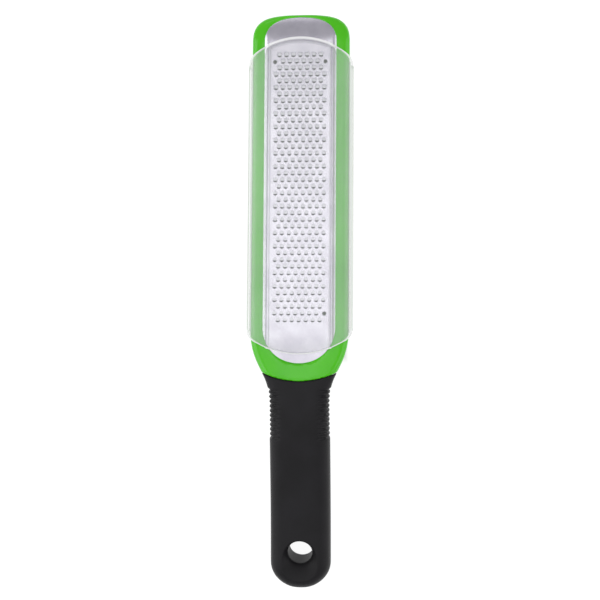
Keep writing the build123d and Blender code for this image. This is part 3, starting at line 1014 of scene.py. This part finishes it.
def coverProfile():  # the inner face from the left skirt over the panel to the right skirt
    ceiling = form["bladeCrown"] + teeth["height"] + cover["clearance"]
    ledge = ceiling - cover["step"]
    half = form["frameHalf"] + cover["gap"]
    radius = cover["shoulderRadius"]
    arcZ = ledge - cover["shoulderFall"]
    ledgeX = cover["panelHalf"] + cover["draft"]
    right = [(x, ceiling) for x in spread(0, cover["panelHalf"], 2.0)]
    right += [(x, mix(ledge, arcZ, i / 3)) for i, x in enumerate(spread(ledgeX, half - radius, 1.5))]
    for i in range(1, 13):
        angle = math.pi / 2 * i / 12
        right.append((half - radius + radius * math.sin(angle), arcZ - radius + radius * math.cos(angle)))
    right += [(half, z) for z in spread(arcZ - radius, -cover["skirt"], 1.2)[1:]]
    return [(-x, z) for x, z in reversed(right[1:])] + right


def edgeDrop(x, radius):  # how far the cover's curved edge has fallen back at x
    half = form["frameHalf"] + cover["gap"] + cover["wall"]
    x = abs(x) * half / (half - cover["wall"])
    inner = half - cover["corner"]
    cornerDrop = radius - math.sqrt((radius - cover["corner"]) ** 2 - inner**2)
    if x > inner * radius / (radius - cover["corner"]):
        return cornerDrop - math.sqrt(max(0.0, cover["corner"] ** 2 - (x - inner) ** 2))
    return radius - math.sqrt(radius**2 - x**2)


def coverEnds(x):  # where the cover begins and ends along the blade at x
    neck = -cover["start"] - cover["length"] + edgeDrop(x, cover["neckRadius"])
    return neck, -cover["start"] - edgeDrop(x, cover["tipRadius"])


def markCover(shell):  # marks painted shade on the side walls, the panel's step and a line behind the tip's band, and a painted highlight along the cut ends, for the material
    marks = {part: shell.data.attributes.new(part, "FLOAT", "POINT") for part in coverPaintedMarks}
    unturned = bladeFrame.inverted()
    for corner in shell.data.vertices:
        x, y, z = (unturned @ corner.co) / mm
        neck, tip = coverEnds(x)
        across = abs(corner.normal.x)
        panel = abs(x) < cover["panelHalf"] + 2 * cover["wall"]
        outer = abs(x) > cover["panelHalf"] + cover["wall"] / 2
        shadeLine = panel and abs(tip - y - cover["tipShadeLine"]) < cover["shadeLineHalf"]
        rimHighlight, neckRim, fade = cover["panelRim" if panel else "tipRim"], cover["neckRim"], cover["rimFade"]
        # painted highlight: a white band along the cut ends
        marks["rimHighlight"].data[corner.index].value = max(
            1 - ease(rimHighlight - fade, rimHighlight + fade, tip - y),
            1 - ease(neckRim - fade, neckRim + fade, y - neck),
        )
        # painted shade on the panel's step, on the line behind the tip's band and on the side walls
        step = ease(*cover["stepShadeFade"], across) if panel and outer else 0.0
        marks["step"].data[corner.index].value = cover["shadeLineMark"] if shadeLine else step
        marks["skirt"].data[corner.index].value = 0.0 if panel else ease(*cover["skirtShadeFade"], across)


def makeCover():
    profile = coverProfile()
    ends = cover["endRows"]
    middle = round(cover["length"] / cover["rowSize"])
    rows = middle + 2 * (len(ends) - 1)

    def place(column, row):
        x, z = profile[column]
        neck, tip = coverEnds(x)
        if row < len(ends):
            return x, neck + ends[row], z
        if rows - row < len(ends):
            return x, tip - ends[rows - row], z
        return x, mix(neck + ends[-1], tip - ends[-1], (row - len(ends) + 1) / middle), z

    shell = addGrid("storageCover", len(profile) - 1, rows, place)
    shell.data.transform(bladeFrame)
    if sum(face.normal.z * face.area for face in shell.data.polygons) < 0:
        shell.data.flip_normals()
    applyModifier(shell, "SOLIDIFY", thickness=cover["wall"] * mm, offset=1, use_even_offset=True)
    bevel = cover["bevel"] * mm
    angle = math.radians(40)
    applyModifier(shell, "BEVEL", width=bevel, segments=3, limit_method="ANGLE", angle_limit=angle)
    markCover(shell)
    pick(shell)
    bpy.ops.object.shade_smooth_by_angle(angle=math.radians(35))
    finishPiece("storageCover", shell, "cover", "storage_cover", coverFinish)


makeRaspPlate()
makeFrame()
makeTipFoot()
makeGrip()
makeCover()

# Camera at the photograph's angle: straight overhead, leaning a little over to the right
camera = {
    "distance": 750.0,
    "lean": 5.0,  # degrees
    "aimX": -0.33,
    "aimY": 0.27,
    "aimZ": 12.0,
    "sensor": 36.0,
    "lens": 83.3,
}


def makeCamera():
    lean = math.radians(camera["lean"])
    aim = Vector((camera["aimX"], camera["aimY"], camera["aimZ"])) * mm
    back = Vector((math.sin(lean), 0, math.cos(lean)))
    bpy.ops.object.camera_add(location=aim + back * camera["distance"] * mm)
    made = bpy.context.object
    made.name = "photoCamera"
    made.rotation_mode = "XYZ"
    made.rotation_euler = (0, lean, 0)
    made.data.sensor_width = camera["sensor"]
    made.data.lens = camera["lens"]
    made.data.clip_start = 0.01
    bpy.context.scene.camera = made


# Floor and soft studio light
studio = {
    "floorSize": 16.0,
    "floorColour": "808080",
    "floorGlow": 0.92,
    "paintedShadowWidth": (0.019, 0.026),  # half sizes of the painted shadow under the blade, a patch where the floor does not glow, where its fade starts and ends
    "paintedShadowLength": (0.080, 0.094),
    "paintedShadowMiddle": 0.058,
    "worldColour": "fbfbff",
    "worldStrength": 0.45,
    "softboxes": {  # place, width and height, and brightness
        "overFieldSoftbox": ((-0.15, 0.3625, 1.5), (2.4, 0.585), 1.20),
        "overNeckSoftbox": ((-0.15, -0.60, 1.5), (2.4, 1.34), 0.66),
        "leftSoftbox": ((-1.7, 0.0, 0.75), (1.6, 1.1), 1.6),
        "rightSoftbox": ((1.7, 0.0, 0.75), (1.6, 1.0), 1.2),
        "tipSoftbox": ((-0.6, 2.1, 1.2), (1.0, 0.35), 0.9),
    },
}


def addSoftbox(name, place, size, brightness):
    bpy.ops.object.light_add(type="AREA", location=place)
    light = bpy.context.object
    light.name = name
    light.data.shape = "RECTANGLE"
    light.data.size, light.data.size_y = size
    light.data.energy = brightness * math.pi * size[0] * size[1]
    light.rotation_mode = "QUATERNION"
    facing = Vector((0, 0, -1)) if name.startswith("over") else -Vector(place)
    light.rotation_quaternion = facing.to_track_quat("-Z", "Y")


def addFade(nodes, links, value, middle, sizes):  # 0 within the first size of the middle, 1 past the second
    shifted = nodes.new("ShaderNodeMath")
    away = nodes.new("ShaderNodeMath")
    ranges = nodes.new("ShaderNodeMapRange")
    shifted.operation = "SUBTRACT"
    away.operation = "ABSOLUTE"
    shifted.inputs[1].default_value = middle
    ranges.interpolation_type = "SMOOTHSTEP"
    ranges.inputs["From Min"].default_value, ranges.inputs["From Max"].default_value = sizes
    links.new(value, shifted.inputs[0])
    links.new(shifted.outputs[0], away.inputs[0])
    links.new(away.outputs[0], ranges.inputs["Value"])
    return ranges.outputs["Result"]


def makeFloor():
    bpy.ops.object.select_all(action="DESELECT")
    bpy.ops.mesh.primitive_plane_add(size=studio["floorSize"])
    floor = bpy.context.object
    floor.name = "floor"
    material, nodes, links, shader, place = newMaterial("paleFloor")
    shader.inputs["Base Color"].default_value = linear(studio["floorColour"])
    shader.inputs["Roughness"].default_value = 0.9
    shader.inputs["Emission Color"].default_value = (1, 1, 1, 1)
    split = nodes.new("ShaderNodeSeparateXYZ")
    most = nodes.new("ShaderNodeMath")
    glow = nodes.new("ShaderNodeMath")
    links.new(place.outputs["Object"], split.inputs[0])
    # the floor glows evenly except in a patch under the blade, left unlit as a painted shadow
    across = addFade(nodes, links, split.outputs["X"], 0.0, studio["paintedShadowWidth"])
    along = addFade(nodes, links, split.outputs["Y"], studio["paintedShadowMiddle"], studio["paintedShadowLength"])
    most.operation = "MAXIMUM"
    glow.operation = "MULTIPLY"
    links.new(across, most.inputs[0])
    links.new(along, most.inputs[1])
    links.new(most.outputs[0], glow.inputs[0])
    glow.inputs[1].default_value = studio["floorGlow"]
    links.new(glow.outputs[0], shader.inputs["Emission Strength"])
    floor.data.materials.append(material)


def makeStudio():
    world = bpy.data.worlds.new("studio")
    world.use_nodes = True
    background = world.node_tree.nodes["Background"]
    background.inputs["Color"].default_value = linear(studio["worldColour"])
    background.inputs["Strength"].default_value = studio["worldStrength"]
    bpy.context.scene.world = world
    for name, (place, size, brightness) in studio["softboxes"].items():
        addSoftbox(name, place, size, brightness)
    bpy.context.scene.view_settings.view_transform = "Standard"


makeCamera()
makeFloor()
makeStudio()
print("camera and studio done")
